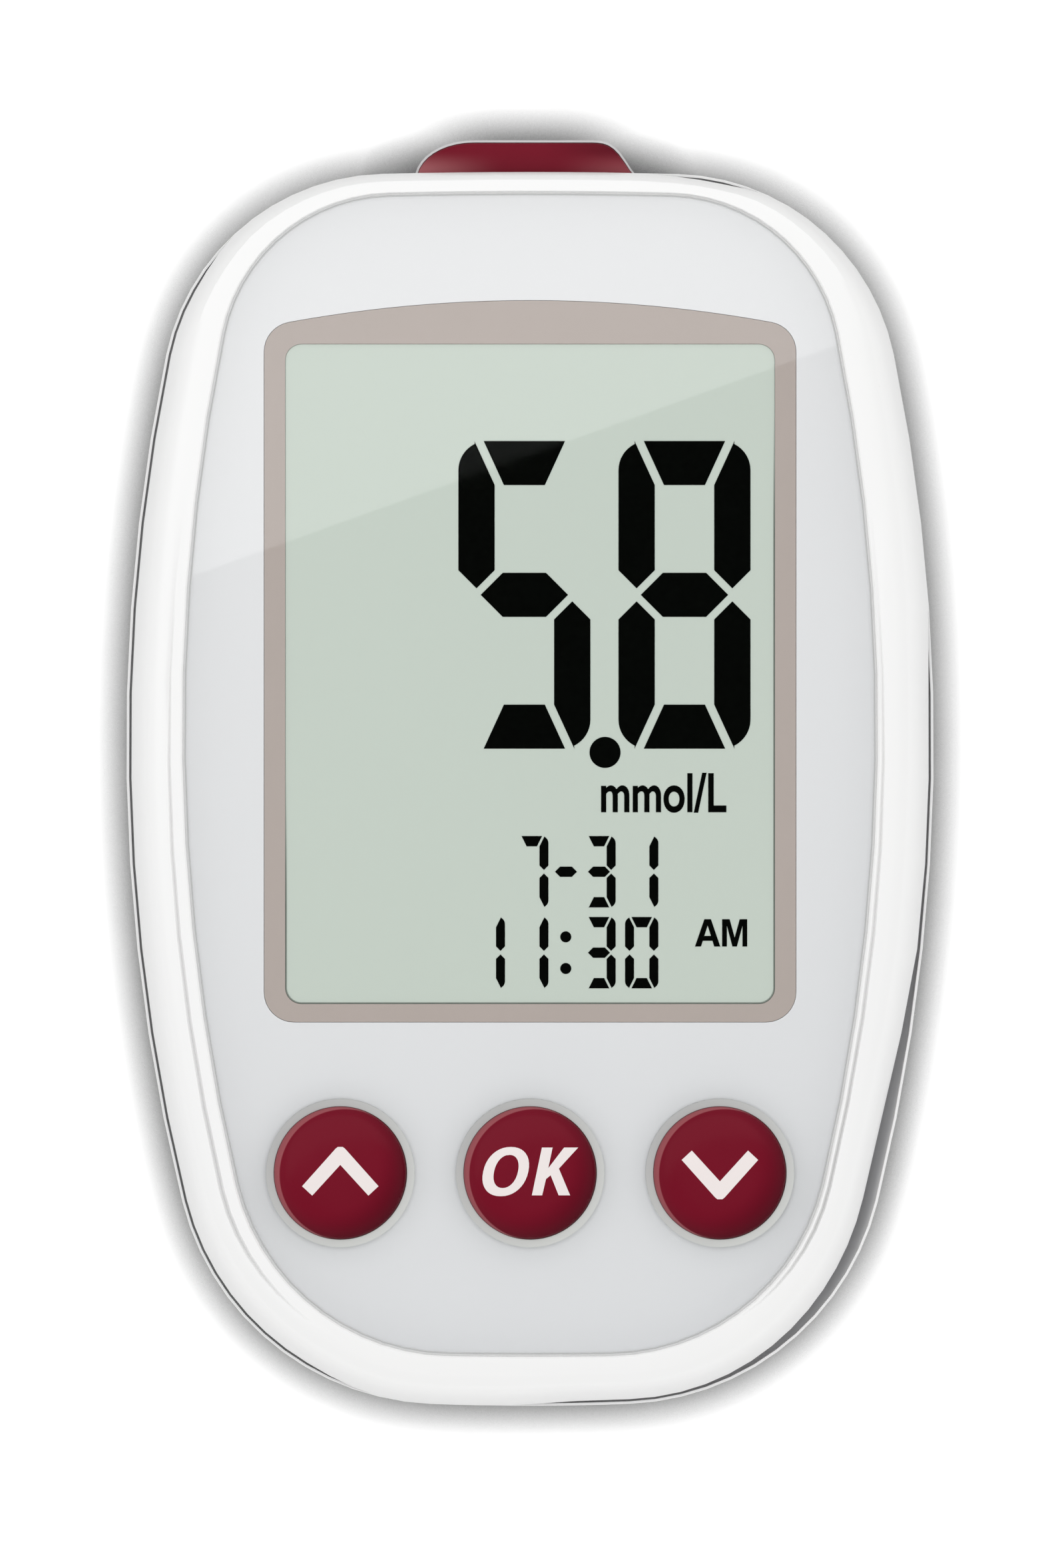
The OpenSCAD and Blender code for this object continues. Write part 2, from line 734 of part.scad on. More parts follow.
// Four sprung blades, which touch a strip where they dip into the channel
module strip_contacts() color(gold) placed() {
    y = socket_y;
    z = strip_z + channel_h / 2;
    for (x = contact_x)
        translate([x + 0.25, 0, 0])
            rotate([90, 0, -90])
                linear_extrude(0.5)
                    polygon([
                        [-y + 0.9, board_z - seat], [-y + 0.9, z + 0.35], [-y - 3.8, z + 0.35],
                        [-y - 5.2, z - 0.3], [-y - 6.8, z + 0.3], [-y - 6.8, z + 0.52],
                        [-y - 5.2, z - 0.08], [-y - 3.9, z + 0.55], [-y + 0.7, z + 0.55],
                        [-y + 0.7, board_z - seat]
                    ]);
}

// The ribbed thumb pad on the back, with the neck and peg that join it to the pusher
module eject_slider() color([0.6, 0.61, 0.62]) placed() {
    floor_z = wall - thumb_floor;
    difference() {
        block([-thumb_w / 2, thumb_y - thumb_l / 2, 0.2],
              [thumb_w / 2, thumb_y + thumb_l / 2, floor_z - run]);
        for (y = [-2.4 : 1.2 : 2.4])
            block([-thumb_w / 2 + 1, thumb_y + y - 0.25, 0],
                  [thumb_w / 2 - 1, thumb_y + y + 0.25, 0.5]);
    }
    block([-1.6, thumb_y - neck_l / 2, floor_z - run - 0.1], [1.6, thumb_y + neck_l / 2, wall + run]);
    rod([0, thumb_y], peg_r, wall, wall + 1.6);
}

// The inner slide: a plate on the floor of the case, a post and the finger that meets the strip
module eject_pusher() color([0.85, 0.85, 0.83]) placed() {
    plate_z = wall + run + seat;
    difference() {
        union() {
            block([-4.5, thumb_y - 3.5, plate_z], [4.5, thumb_y + 3.5, plate_z + 0.9]);
            block([-1.8, thumb_y - neck_l / 2, plate_z],
                  [1.8, thumb_y + neck_l / 2, finger_z + finger_t]);
            block([-finger_w / 2, thumb_y, finger_z],
                  [finger_w / 2, socket_y + 0.9, finger_z + finger_t]);
        }
        rod([0, thumb_y], peg_r + seat, plate_z - 1, wall + 1.8);
    }
}

// A coil spring between the pusher's post and the stop rib: one tube of six sides, whose ends
// are wound flat, with the least gap between its turns printed
module eject_spring() color(steel) placed() {
    low = thumb_y + neck_l / 2 + seat + wire_d / 2;
    high = stop_y - seat - wire_d / 2;
    steps = 12;
    count = spring_turns * steps;
    rise = (high - low) / count;
    rings = [for (k = [0 : count]) let (angle = 360 * k / steps)
        [for (side = [0 : 5]) let (reach = spring_r + wire_d / 2 * cos(60 * side))
            [reach * cos(angle), low + k * rise + wire_d / 2 * sin(60 * side),
             spring_z + reach * sin(angle)]]];
    echo(least_gap_between_turns = (high - low) / spring_turns - wire_d);
    skin(rings);
}

// The rear shell, from its flat back round the rim to its inner floor
module rear_shell() {
    skin([
        for (k = [0 : 6]) let (angle = 90 * k / 6)
            lift(ring(outer, back_inset * back_share(angle)), back_rise(angle)),
        lift(ring(outer, 0), parting_z - 0.1),
        lift(ring(outer, 0.04), parting_z),
        lift(ring(outer, edge_w), parting_z),
        groove_ring(edge_w + 0.05, 0.6),
        groove_ring(groove_in, -0.3),
        lift(ring(outer, groove_in), tongue_z - run),
        lift(ring(outer, wall + 0.1), tongue_z - run),
        for (k = [4 : -1 : 1]) let (angle = 90 * k / 4)
            lift(
                ring(outer, wall + 0.1 + (back_inset - 1) * back_share(angle)),
                wall + (back_curve_z - wall) * (1 - pow(cos(angle), 0.8))
            ),
        lift(ring(outer, back_inset + 0.6), wall)
    ]);
}

// The tube that guides a case screw, which starts inside the back's curve
module boss(p) {
    foot_r = head_r + 0.3;
    low = back_height(post_reach - foot_r) + 0.1;
    high = back_height(post_reach - boss_r) + 0.3;
    translate([p[0], p[1], 0])
        rotate_extrude($fn = 48)
            polygon([
                [0, low], [foot_r, low], [boss_r, high], [boss_r, board_z - 0.2], [0, board_z - 0.2]
            ]);
}

// The space that the battery door fills, and its rails' grooves
module door_space(margin) {
    block([-door_w / 2 - margin, -body_l / 2 - 5, -1],
          [door_w / 2 + margin, door_y + margin, door_top_z + margin]);
}

module rail_space(margin) {
    for (x = [-1, 1])
        translate([x * (door_w / 2 + (rail_w + margin) / 2 - 0.25), (door_y - body_l / 2 - 5) / 2,
                   rail_z + rail_t / 2])
            cube([rail_w + margin + 0.5, door_y + body_l / 2 + 5 - 1, rail_t + 2 * margin], center = true);
}

module rear_case() color(white) placed() {
    difference() {
        union() {
            difference() {
                rear_shell();
                door_space(run);
                rail_space(run);
            }
            // the lip under and round the strip port
            skin([
                lift(port_line(2.4), 0.7),
                lift(port_line(1.1 - port_lip), 1.3),
                lift(port_line(0.3 - port_lip), 2.2),
                lift(port_line(-port_lip), 3),
                lift(port_line(-port_lip), lip_top)
            ]);
            // the battery tray: a web over the cells, side ribs and the walls of their pockets
            block([-side_rib_x - rib_t, tray_end_y, web_z], [side_rib_x + rib_t, tray_top_y, web_top]);
            for (x = [-1, 1])
                translate([x * (side_rib_x + rib_t / 2), (tray_end_y + tray_top_y) / 2,
                           (wall + web_top) / 2 - 0.3])
                    cube([rib_t, tray_top_y - tray_end_y, web_top - wall + 0.6], center = true);
            block([-side_rib_x, door_y + run, 0.6], [side_rib_x, tray_top_y, web_top]);
            block([-pocket_wall_x, tray_end_y, cell_z + 0.6], [pocket_wall_x, door_y - 0.3, web_top]);
            for (p = posts)
                boss(p);
            block([-2.5, stop_y, wall - 0.4], [2.5, stop_y + 1, socket_z - 0.1]);
        }
        for (y = [upper_cell_y, lower_cell_y])
            rod([0, y], pocket_r, -1, web_z);
        for (p = posts) {
            rod(p, screw_r + 0.15, -1, board_z + 1);
            rod(p, head_r + 0.1, -1, head_seat);
        }
        // the strip port's seat, and its mouth through the lip
        skin([
            lift(port_line(lip_in - seat), port_z - 0.1),
            lift(port_line(lip_in - seat), port_z + 0.4),
            lift(port_line(0), lip_top),
            lift(port_line(0), parting_z + 1)
        ]);
        mouth(run);
        // the ejector's thumb recess and slot
        block([-thumb_w / 2 - 0.6, thumb_y - thumb_l / 2 - 0.4, -1],
              [thumb_w / 2 + 0.6, thumb_y + thumb_l / 2 + eject_travel + 0.4, wall - thumb_floor]);
        block([-1.6 - run, thumb_y - neck_l / 2 - run, -1],
              [1.6 + run, thumb_y + neck_l / 2 + eject_travel + run, wall + 0.5]);
    }
}

// The door slides off over the bottom end, so it takes its piece of the curved end with it
module battery_door() color(white) placed() {
    difference() {
        union() {
            intersection() {
                rear_shell();
                union() {
                    door_space(0);
                    rail_space(0);
                }
            }
            for (x = [-1, 1])
                translate([x * (door_w / 2 + rail_w - 1.2), (rail_low + rail_high) / 2,
                           rail_z + rail_t / 2])
                    cube([2.4, rail_high - rail_low, rail_t], center = true);
            for (x = [-1, 1])
                translate([x * (door_w / 2 - 0.8), (rail_low + rail_high) / 2, wall])
                    cube([1.2, rail_high - rail_low, 0.6], center = true);
        }
        for (k = [0 : 4])
            block([-grip_x, grip_y + grip_pitch * k, -1],
                  [grip_x, grip_y + grip_pitch * k + grip_w, mark_d]);
        // an arrow that shows which way the door slides
        translate([0, arrow_y, -1])
            linear_extrude(1 + mark_d)
                polygon([[0, -3], [2.4, 0], [0.9, 0], [0.9, 2.6], [-0.9, 2.6], [-0.9, 0], [-2.4, 0]]);
    }
}

// A coin cell, its wide can below and its smaller cap above
module coin_cell(y) {
    r = cell_d / 2;
    translate([0, y, cell_z])
        rotate_extrude($fn = 64)
            polygon([
                [0, 0], [r - 0.3, 0], [r, 0.3], [r, cell_t - 0.6], [r - 0.5, cell_t - 0.2],
                [r - 1.1, cell_t - 0.2], [r - 1.4, cell_t], [0, cell_t]
            ]);
}

module cell_upper() color(steel) placed() coin_cell(upper_cell_y);
module cell_lower() color(steel) placed() coin_cell(lower_cell_y);

// Curved strips that press on the rim of each cell
module battery_clips() color(gold) placed() {
    for (y = [upper_cell_y, lower_cell_y])
        translate([0, y, cell_z + 0.7])
            rotate([0, 0, -25])
                rotate_extrude(angle = 50, $fn = 64)
                    translate([cell_d / 2 + clip_gap, 0])
                        square([clip_t, cell_t - 0.2]);
}

// Leaf springs on the web, each with a foot at both ends and a crest that meets the cell's cap
module battery_springs() color(gold) placed() {
    high = web_z - seat;
    low = cell_top + seat;
    for (y = [upper_cell_y, lower_cell_y])
        translate([-1.5, y, 0])
            rotate([90, 0, 90])
                linear_extrude(3)
                    polygon([
                        [-6, high], [-6, high - 0.15], [-4, high - 0.15], [-1, low], [1, low],
                        [4, high - 0.15], [6, high - 0.15], [6, high], [3.9, high],
                        [0.9, low + 0.15], [-0.9, low + 0.15], [-3.9, high]
                    ]);
}

// A self-tapping screw: a shank and a round head below it, with a cross recess
module screw(p, r, low, under, high) {
    difference() {
        union() {
            rod(p, screw_r, low + 0.1, high);
            rod(p, r, low, under);
        }
        for (turn = [0, 90])
            translate([p[0], p[1], low])
                rotate([0, 0, turn])
                    cube([1.8, 0.4, 1], center = true);
    }
}

module case_screws() color(steel) placed() {
    for (p = posts)
        screw(p, head_r, head_seat - head_t, head_seat - seat, deck_z - 2);
}

module board_screws() color(steel) placed() {
    for (p = standoffs)
        screw(p, 1.4, board_z - 1, board_z - seat, deck_z - 1.5);
}

module buzzer() color(gold) placed() {
    translate([each buzzer_at, board_z - seat - buzzer_h])
        difference() {
            cylinder(r = buzzer_r, h = buzzer_h, $fn = 64);
            translate([0, 0, -1])
                cylinder(r = 1, h = 2, $fn = 32);
        }
}

front_case();
face_lens();
graphic_film();
display_bezel();
lcd_panel();
lcd_backlight();
lcd_holder();
zebra_strips();
main_board();
board_chips();
up_button();
ok_button();
down_button();
up_dome();
ok_dome();
down_dome();
key_gasket();
strip_port();
strip_connector();
strip_contacts();
eject_slider();
eject_pusher();
eject_spring();
rear_case();
battery_door();
cell_upper();
cell_lower();
battery_clips();
battery_springs();
case_screws();
board_screws();
buzzer();
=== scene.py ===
import math

import bpy
from mathutils import Matrix, Vector


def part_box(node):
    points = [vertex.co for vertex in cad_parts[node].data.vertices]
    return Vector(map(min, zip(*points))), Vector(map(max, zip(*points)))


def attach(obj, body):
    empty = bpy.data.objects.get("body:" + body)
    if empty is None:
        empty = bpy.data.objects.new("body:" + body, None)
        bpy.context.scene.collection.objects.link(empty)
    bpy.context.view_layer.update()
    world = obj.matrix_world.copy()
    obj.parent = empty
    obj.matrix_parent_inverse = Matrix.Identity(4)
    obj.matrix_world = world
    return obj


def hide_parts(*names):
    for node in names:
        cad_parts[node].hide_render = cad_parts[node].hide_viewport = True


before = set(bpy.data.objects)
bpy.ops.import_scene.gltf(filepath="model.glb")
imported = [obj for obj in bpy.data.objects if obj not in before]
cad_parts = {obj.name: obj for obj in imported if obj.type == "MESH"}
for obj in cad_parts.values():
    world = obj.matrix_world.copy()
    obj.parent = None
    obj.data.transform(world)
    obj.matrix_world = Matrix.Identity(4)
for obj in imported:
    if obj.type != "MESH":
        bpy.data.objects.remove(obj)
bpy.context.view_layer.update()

MM = 0.001


# ---------------------------------------------------------------------------------------------
# Rear case. The white lower half of the housing, injection moulded in semi-gloss ABS, with the
# battery tray moulded into its floor. It is fixed to the front case by four screws.
# ---------------------------------------------------------------------------------------------
class Value:
    """An output in a material's tree. Sums on it add Math nodes, also with plain numbers."""

    def __init__(self, finish, socket):
        self.finish = finish
        self.socket = socket

    def maths(self, operation, first, second):
        return self.finish.node("ShaderNodeMath", {"operation": operation}, {0: first, 1: second})

    def __add__(self, other):
        return self.maths("ADD", self, other)

    def __radd__(self, other):
        return self.maths("ADD", other, self)

    def __sub__(self, other):
        return self.maths("SUBTRACT", self, other)

    def __rsub__(self, other):
        return self.maths("SUBTRACT", other, self)

    def __mul__(self, other):
        return self.maths("MULTIPLY", self, other)

    def __rmul__(self, other):
        return self.maths("MULTIPLY", other, self)

    def __truediv__(self, other):
        return self.maths("DIVIDE", self, other)

    def __pow__(self, other):
        return self.maths("POWER", self, other)

    def __abs__(self):
        return self.maths("ABSOLUTE", self, 0)

    def __gt__(self, other):
        return self.maths("GREATER_THAN", self, other)

    def __lt__(self, other):
        return self.maths("LESS_THAN", self, other)


class Finish:
    """A material being mixed. node() adds any node: its settings first, then its inputs."""

    def __init__(self, name):
        self.material = bpy.data.materials.new(name)
        self.material.use_nodes = True
        self.tree = self.material.node_tree
        self.tree.nodes.clear()

    def node(self, kind, settings=None, inputs=None, output=0):
        made = self.tree.nodes.new(kind)
        for name, value in (settings or {}).items():
            setattr(made, name, value)
        for name, value in (inputs or {}).items():
            if isinstance(value, Value):
                self.tree.links.new(value.socket, made.inputs[name])
            else:
                made.inputs[name].default_value = value
        return Value(self, made.outputs[output]) if made.outputs else made

    def place(self):
        """Where the shaded point lies in the meter, in metres, as three Values."""
        coordinates = self.node("ShaderNodeTexCoord", output="Object")
        return [self.node("ShaderNodeSeparateXYZ", None, {0: coordinates}, axis) for axis in range(3)]

    def noise(self, size, detail=2.0):
        """Cloudy noise from 0 to 1 with patches of about this size in metres."""
        coordinates = self.node("ShaderNodeTexCoord", output="Object")
        return self.node("ShaderNodeTexNoise", None,
                         {"Vector": coordinates, "Scale": 1 / size, "Detail": detail})

    def rise(self, value, low, high):
        """From 0 at the low end to 1 at the high end, with a soft start and finish."""
        return self.node("ShaderNodeMapRange", {"interpolation_type": "SMOOTHSTEP"},
                         {"Value": value, "From Min": low, "From Max": high})

    def blend(self, share, first, second):
        """A colour between two, where share is 0 for the first and 1 for the second."""
        return self.node("ShaderNodeMix", {"data_type": "RGBA"},
                         {"Factor": share, 6: first, 7: second}, 2)

    def relief(self, height, depth):
        """A bump whose height runs from 0 to 1 over this depth in metres."""
        return self.node("ShaderNodeBump", None, {"Height": height, "Distance": depth, "Strength": 1.0})

    def surface(self, inputs):
        shader = self.node("ShaderNodeBsdfPrincipled", None, inputs)
        self.node("ShaderNodeOutputMaterial", None, {"Surface": shader})
        return self.material


def tone(red, green, blue):
    """A colour as the eye names it, from 0 to 255, as the shader needs it."""
    shares = [channel / 255 for channel in (red, green, blue)]
    linear = [s / 12.92 if s < 0.04045 else ((s + 0.055) / 1.055) ** 2.4 for s in shares]
    return (*linear, 1.0)


def moulded(name, light, dark, roughness, grain=0.25 * MM, grain_depth=0.002 * MM):
    """Moulded plastic: slow drifts between two close tones, a fine grain and uneven gloss."""
    finish = Finish(name)
    drift = finish.noise(14 * MM, 3.0)
    grain_noise = finish.noise(grain, 4.0)
    return finish.surface({
        "Base Color": finish.blend(drift, light, dark),
        "Roughness": roughness + 0.08 * (grain_noise - 0.5) + 0.05 * (drift - 0.5),
        "Normal": finish.relief(grain_noise, grain_depth),
    })


def select_only(piece):
    """Everything off but this piece, which is then the active one."""
    bpy.ops.object.select_all(action="DESELECT")
    piece.select_set(True)
    bpy.context.view_layer.objects.active = piece


def shell_copy(node, name, crease=32):
    """A copy of a part's mesh with its loose triangles merged, smooth up to its real edges."""
    piece = bpy.data.objects.new(name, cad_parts[node].data.copy())
    bpy.context.scene.collection.objects.link(piece)
    select_only(piece)
    if piece.data.has_custom_normals:
        bpy.ops.mesh.customdata_custom_splitnormals_clear()
    bpy.ops.object.mode_set(mode="EDIT")
    bpy.ops.mesh.select_all(action="SELECT")
    bpy.ops.mesh.remove_doubles(threshold=0.0005 * MM)
    bpy.ops.mesh.dissolve_limited(angle_limit=math.radians(0.3))
    bpy.ops.object.mode_set(mode="OBJECT")
    bpy.ops.object.shade_smooth_by_angle(angle=math.radians(crease))
    return piece


def dress(piece, material):
    """The piece gets this finish all over."""
    piece.data.materials.clear()
    piece.data.materials.append(material)


def rear_plastic(lip_z):
    """White, lighter than the front case as painted light, with painted shade on the ledge behind the
    white lip under the front shell's edge.
    """
    finish = Finish("rear_white")
    _, _, z = finish.place()
    facing = finish.node("ShaderNodeNewGeometry", output="Normal")
    upward = finish.node("ShaderNodeSeparateXYZ", None, {0: facing}, 2)
    # Painted shade on the ledge below the lip, where the front shell's edge overhangs it
    ledge = (upward > 0.6) * (z > lip_z - 1.5 * MM) * finish.rise(z, lip_z - 0.02 * MM, lip_z - MM)
    drift = finish.noise(14 * MM, 3.0)
    grain = finish.noise(0.25 * MM, 4.0)
    # Painted light: a little lighter than the front case's white, so that its lip reads as lit
    white = finish.blend(drift, tone(252, 252, 251), tone(249, 249, 249))
    return finish.surface({
        "Base Color": finish.blend(ledge, white, tone(168, 168, 170)),
        "Roughness": 0.3 + 0.08 * (grain - 0.5) + 0.05 * (drift - 0.5),
        "Normal": finish.relief(grain, 0.002 * MM),
    })


rear_white = rear_plastic(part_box("rear_case")[1].z)
rear_shell = shell_copy("rear_case", "rear_shell")
dress(rear_shell, rear_white)
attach(rear_shell, "housing")
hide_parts("rear_case")


# ---------------------------------------------------------------------------------------------
# Battery door. The same white ABS as the rear case, in which its rails slide. Grip grooves and
# a small engraved arrow are moulded into its outer face.
# ---------------------------------------------------------------------------------------------
door = shell_copy("battery_door", "door")
dress(door, rear_white)
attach(door, "door")
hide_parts("battery_door")


# ---------------------------------------------------------------------------------------------
# Coin cells. Drawn steel cans, nickel plated, with fine turning marks. They lie in the tray.
# ---------------------------------------------------------------------------------------------
def plated(name, light, dark, roughness):
    """Bright plated metal with cloudy tarnish and hairline scratches."""
    finish = Finish(name)
    cloud = finish.noise(3 * MM, 3.0)
    hairline = finish.noise(0.12 * MM, 2.0)
    return finish.surface({
        "Base Color": finish.blend(cloud, light, dark),
        "Metallic": 1.0,
        "Roughness": roughness + 0.12 * (cloud - 0.5) + 0.06 * (hairline - 0.5),
        "Normal": finish.relief(hairline, 0.001 * MM),
    })


nickel = plated("nickel", tone(206, 206, 204), tone(184, 184, 183), 0.28)
steel = plated("steel", tone(190, 192, 195), tone(165, 167, 171), 0.3)
gilt = plated("gilt", tone(226, 189, 112), tone(205, 166, 92), 0.27)

for node, material in {
    "cell_upper": nickel, "cell_lower": nickel, "up_dome": steel, "ok_dome": steel,
    "down_dome": steel, "eject_spring": steel, "case_screws": steel, "board_screws": steel,
    "strip_contacts": gilt, "battery_clips": gilt, "battery_springs": gilt, "buzzer": gilt,
}.items():
    dress(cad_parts[node], material)


# ---------------------------------------------------------------------------------------------
# Circuit board. Glass epoxy under green solder mask, through which the copper tracks show as
# lighter lines. It hangs under the display on two screws.
# ---------------------------------------------------------------------------------------------
def solder_mask():
    """Green, a little lighter and raised over two sets of copper tracks that cross."""
    finish = Finish("solder_mask")
    x, y, _ = finish.place()
    ripple = finish.noise(5 * MM, 1.0)
    pitch = 1.4 * MM
    track = finish.node("ShaderNodeMath", {"operation": "PINGPONG"}, {0: x + 0.3 * y, 1: pitch / 2})
    across = finish.node("ShaderNodeMath", {"operation": "PINGPONG"}, {0: y - 0.2 * x, 1: pitch})
    copper = (track < 0.1 * pitch) * (ripple > 0.5) + (across < 0.08 * pitch) * (ripple < 0.42)
    return finish.surface({
        "Base Color": finish.blend(copper, tone(22, 84, 54), tone(48, 122, 82)),
        "Roughness": 0.34 + 0.1 * ripple,
        "Normal": finish.relief(copper, 0.03 * MM),
    })


dress(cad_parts["main_board"], solder_mask())
dress(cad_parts["board_chips"],
      moulded("chip_epoxy", tone(38, 38, 40), tone(30, 30, 31), 0.55, 0.12 * MM, 0.006 * MM))
dress(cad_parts["strip_connector"],
      moulded("connector_black", tone(32, 32, 33), tone(24, 24, 25), 0.45))


# ---------------------------------------------------------------------------------------------
# Display stack. A milky diffuser and its moulded holder, two conductive elastomer strips with
# fine dark layers, and the liquid crystal glass with a grey-green polariser bonded on it.
# ---------------------------------------------------------------------------------------------
def layered_elastomer():
    """Grey elastomer with dark conductive layers."""
    finish = Finish("layered_elastomer")
    x, _, _ = finish.place()
    layer = finish.node("ShaderNodeMath", {"operation": "PINGPONG"}, {0: x, 1: 0.1 * MM})
    dark = layer < 0.05 * MM
    return finish.surface({
        "Base Color": finish.blend(dark, tone(178, 178, 184), tone(46, 46, 50)),
        "Roughness": 0.6 + 0.1 * dark,
    })


def printed(name, outlines, thickness):
    """A flat plate in each closed outline, in millimetres, with its lower face at height 0."""
    curve = bpy.data.curves.new(name, "CURVE")
    curve.dimensions = "2D"
    curve.fill_mode = "BOTH"
    curve.extrude = thickness / MM / 2
    for outline in outlines:
        spline = curve.splines.new("POLY")
        spline.points.add(len(outline) - 1)
        for point, (x, y) in zip(spline.points, outline):
            point.co = (x, y, 0, 1)
        spline.use_cyclic_u = True
    piece = bpy.data.objects.new(name, curve)
    bpy.context.scene.collection.objects.link(piece)
    select_only(piece)
    bpy.ops.object.convert(target="MESH")
    return settled(bpy.context.object, (0, 0, thickness / 2))


def settled(piece, place):
    """A piece drawn in millimetres, brought to metres at this place, with its doubles merged."""
    piece.scale = (MM, MM, MM)
    piece.location = place
    select_only(piece)
    bpy.ops.object.transform_apply(location=True, rotation=True, scale=True)
    bpy.ops.object.mode_set(mode="EDIT")
    bpy.ops.mesh.select_all(action="SELECT")
    bpy.ops.mesh.remove_doubles(threshold=0.0002 * MM)
    bpy.ops.object.mode_set(mode="OBJECT")
    return piece


def placed(piece, where):
    """Moves a piece here and leaves its origin where the meter's is."""
    piece.location = where
    select_only(piece)
    bpy.ops.object.transform_apply(location=True, rotation=False, scale=False)


def rounded(half_wide, half_high, corner, steps=10):
    """A rectangle with round corners about the origin."""
    sides = [(1, 1), (-1, 1), (-1, -1), (1, -1)]
    turns = [(x_side, y_side, math.radians(90 * (quarter + step / steps)))
             for quarter, (x_side, y_side) in enumerate(sides) for step in range(steps + 1)]
    return [(x_side * (half_wide - corner) + corner * math.cos(turn),
             y_side * (half_high - corner) + corner * math.sin(turn))
            for x_side, y_side, turn in turns]


# What lies behind the lens takes its gloss from the clear layer bonded on it
under_lens = {
    "Specular IOR Level": 0.2,
    "Coat Weight": 0.75,
    "Coat Roughness": 0.01,
    "Coat IOR": 1.5,
}


def polariser(middle, half_wide, half_high, corner):
    """The display's face: grey-green, with painted shade along the window's lower and right edges."""
    finish = Finish("polariser")
    x, y, _ = finish.place()
    drift = finish.noise(20 * MM, 1.0)
    lift = 0.5 + 6 * (y - x) + 0.2 * (drift - 0.5)
    face = finish.blend(lift, tone(199, 209, 199), tone(201, 212, 202))
    beyond = [finish.node("ShaderNodeMath", {"operation": "MAXIMUM"},
                          {0: abs(place - centre) - (half - corner), 1: 0})
              for place, centre, half in ((x, middle.x, half_wide), (y, middle.y, half_high))]
    inside = corner - (beyond[0] ** 2 + beyond[1] ** 2) ** 0.5
    # Painted shade along the window's lower and right edges, as if cast by the frame, fading towards
    # the upper left
    edge_shade = finish.rise(inside, 0.16 * MM, 0.08 * MM) * finish.rise(0.75 * x - y, -13 * MM, -3 * MM)
    return finish.surface({
        "Base Color": finish.blend(edge_shade * 0.75, face, tone(96, 104, 96)),
        "Roughness": 0.42 + 0.06 * drift,
        **under_lens,
    })


milky = moulded("milky_diffuser", tone(236, 238, 233), tone(230, 232, 227), 0.5)
dress(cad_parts["lcd_backlight"], milky)
dress(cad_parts["lcd_holder"], milky)
dress(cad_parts["zebra_strips"], layered_elastomer())
frame_low, frame_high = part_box("display_bezel")
frame_side = 1.4 * MM
frame_foot = 1.2 * MM
frame_head = 2.9 * MM
window_low = Vector((frame_low.x + frame_side, frame_low.y + frame_foot))
window_high = Vector((frame_high.x - frame_side, frame_high.y - frame_head))
window_mid = (window_low + window_high) / 2
window_half = (window_high - window_low) / 2
window_r = 1.1 * MM
grey_green = polariser(window_mid, window_half.x, window_half.y, window_r)
dress(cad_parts["lcd_panel"], grey_green)

# The polariser is bonded on the glass and reaches up into the frame's window
glass_low, glass_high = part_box("lcd_panel")
sheet_play = 0.02 * MM
sheet_top = frame_high.z - 0.1 * MM
outline = rounded(*[(size - sheet_play) / MM for size in (window_half.x, window_half.y, window_r)])
sheet = printed("polariser_sheet", [outline], sheet_top - glass_high.z)
placed(sheet, (window_mid.x, window_mid.y, glass_high.z))
dress(sheet, grey_green)
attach(sheet, "housing")


# ---------------------------------------------------------------------------------------------
# Figures on the display. The glass darkens under its electrodes: two large figures with a point,
# the unit, the date and the time. They are modelled as thin plates on the polariser.
# ---------------------------------------------------------------------------------------------
glass_mid = (glass_low + glass_high) / 2
ink_t = 0.02 * MM


def disc(x, y, radius, steps=48):
    """A round outline."""
    turns = [math.tau * step / steps for step in range(steps)]
    return [(x + radius * math.cos(turn), y + radius * math.sin(turn)) for turn in turns]


# The segments that each figure shows, in the usual order: a on top, then clockwise, g across
LIT = {"0": "abcdef", "1": "bc", "3": "abcdg", "5": "acdfg", "7": "abc", "8": "abcdefg", "-": "g"}


def figure(sign, left, middle, wide, high, stroke, bar, gap):
    """Outlines of a seven-segment figure whose left edge and middle height are given."""
    half = high / 2
    cut = stroke * 0.57
    rim = stroke * 0.8
    turn = [math.radians(angle) for angle in range(180, 114, -8)]
    corner = [(rim + rim * math.cos(a), half - rim + rim * math.sin(a)) for a in turn]
    upright = [(0, gap * 0.7 + stroke / 2), *corner, (cut - gap / 2, half),
               (stroke, half - bar), (stroke, gap * 0.7 + stroke / 2), (stroke / 2, gap * 0.7)]
    cap = [(cut + gap / 2, half), (wide - cut - gap / 2, half),
           (wide - stroke - gap, half - bar), (stroke + gap, half - bar)]
    tip = stroke / 2 + gap * 0.45
    waist = [(tip, 0), (tip + bar / 2, bar / 2), (wide - tip - bar / 2, bar / 2), (wide - tip, 0),
             (wide - tip - bar / 2, -bar / 2), (tip + bar / 2, -bar / 2)]
    shapes = {
        "a": cap,
        "b": [(wide - x, y) for x, y in upright],
        "c": [(wide - x, -y) for x, y in upright],
        "d": [(x, -y) for x, y in cap],
        "e": [(x, -y) for x, y in upright],
        "f": upright,
        "g": waist,
    }
    return [[(left + x, middle + y) for x, y in shapes[part]] for part in LIT[sign]]


